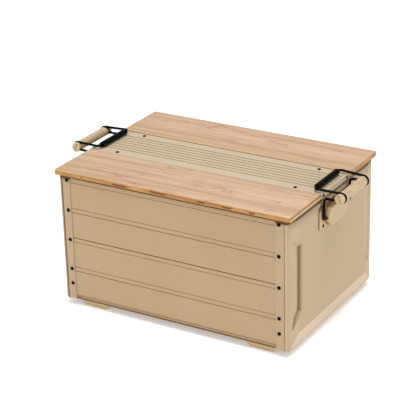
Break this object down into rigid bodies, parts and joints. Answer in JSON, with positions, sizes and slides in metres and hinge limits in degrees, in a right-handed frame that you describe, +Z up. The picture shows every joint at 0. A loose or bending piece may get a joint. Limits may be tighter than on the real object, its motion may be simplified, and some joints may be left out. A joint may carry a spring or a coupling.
{
  "type": "camping chuck box",
  "caption": "Metal camping storage box with a lift-off bamboo lid, grooved hollow boards, pressed end panels and a folding latch handle at each end.",
  "frame": {"origin": "on the ground, at the middle of the box's outline", "axes": "+X along the lid's length, +Z up, the front faces -Y"},
  "size_m": [0.6742, 0.41, 0.3318],
  "materials": {
    "painted_board": "hollow extruded boards with a satin beige powder coat",
    "painted_sheet": "pressed sheet steel with a satin beige powder coat",
    "rail_tube": "rectangular tube, satin beige powder coat",
    "foot_block": "moulded beige block, matt",
    "latch_bracket": "cast bracket, satin beige powder coat",
    "floor_ply": "sealed plywood",
    "lid_metal": "ribbed extrusion with a satin beige powder coat",
    "bamboo": "laminated bamboo, clear satin lacquer, darker on its edges",
    "black_wire": "steel wire with a semi-gloss black coat",
    "black_sleeve": "soft black tube",
    "grip": "mottled beige grip tube",
    "grip_cap": "beige end plug with a slot",
    "black_screw": "black low-head screws"
  },
  "bodies": {
    "box": {"front_board_upper": "painted_board", "front_board_lower": "painted_board", "back_board_upper": "painted_board", "back_board_lower": "painted_board", "end_panel_left": "painted_sheet", "end_panel_right": "painted_sheet", "floor_panel": "floor_ply", "bottom_rail_front": "rail_tube", "bottom_rail_back": "rail_tube", "top_rail_front": "rail_tube", "top_rail_back": "rail_tube", "floor_bearer_left": "rail_tube", "floor_bearer_right": "rail_tube", "foot_front_left": "foot_block", "foot_front_right": "foot_block", "foot_back_left": "foot_block", "foot_back_right": "foot_block", "bracket_left": "latch_bracket", "bracket_right": "latch_bracket", "flange_screws": "black_screw", "floor_screws": "black_screw", "foot_screws": "black_screw", "bearer_screws": "black_screw", "bracket_screws": "black_screw"},
    "lid": {"lid_board_front": "bamboo", "lid_board_back": "bamboo", "lid_strip": "lid_metal", "lid_end_cap_left": "lid_metal", "lid_end_cap_right": "lid_metal", "lid_batten_left": "bamboo", "lid_batten_right": "bamboo", "lid_strip_screws": "black_screw", "lid_end_cap_screws": "black_screw", "lid_board_screws": "black_screw"},
    "lever_left": {"lever_frame_left": "black_wire", "grip_left": "grip", "grip_cap_left_front": "grip_cap", "grip_cap_left_back": "grip_cap"},
    "bail_left": {"bail_wire_left": "black_wire", "bail_sleeve_left": "black_sleeve"},
    "lever_right": {"lever_frame_right": "black_wire", "grip_right": "grip", "grip_cap_right_front": "grip_cap", "grip_cap_right_back": "grip_cap"},
    "bail_right": {"bail_wire_right": "black_wire", "bail_sleeve_right": "black_sleeve"}
  },
  "joints": [
    {"name": "lid_lift", "type": "slide", "parent": "box", "child": "lid", "axis": [0, 0, 1], "range_m": [0, 0.08]},
    {"name": "lever_left_fold", "type": "hinge", "parent": "box", "child": "lever_left", "pos_m": [-0.289, 0, 0.2605], "axis": [0, -1, 0], "range_deg": [0, 130]},
    {"name": "bail_left_swing", "type": "hinge", "parent": "lever_left", "child": "bail_left", "pos_m": [-0.3245, 0, 0.314], "axis": [0, -1, 0], "range_deg": [0, 112]},
    {"name": "lever_right_fold", "type": "hinge", "parent": "box", "child": "lever_right", "pos_m": [0.289, 0, 0.2605], "axis": [0, 1, 0], "range_deg": [0, 130]},
    {"name": "bail_right_swing", "type": "hinge", "parent": "lever_right", "child": "bail_right", "pos_m": [0.3245, 0, 0.314], "axis": [0, 1, 0], "range_deg": [0, 112]}
  ],
  "couplings": [
    {"joint": "bail_left_swing", "follows": "lid_lift", "rad_per_m": 24},
    {"joint": "bail_right_swing", "follows": "lid_lift", "rad_per_m": 24}
  ]
}
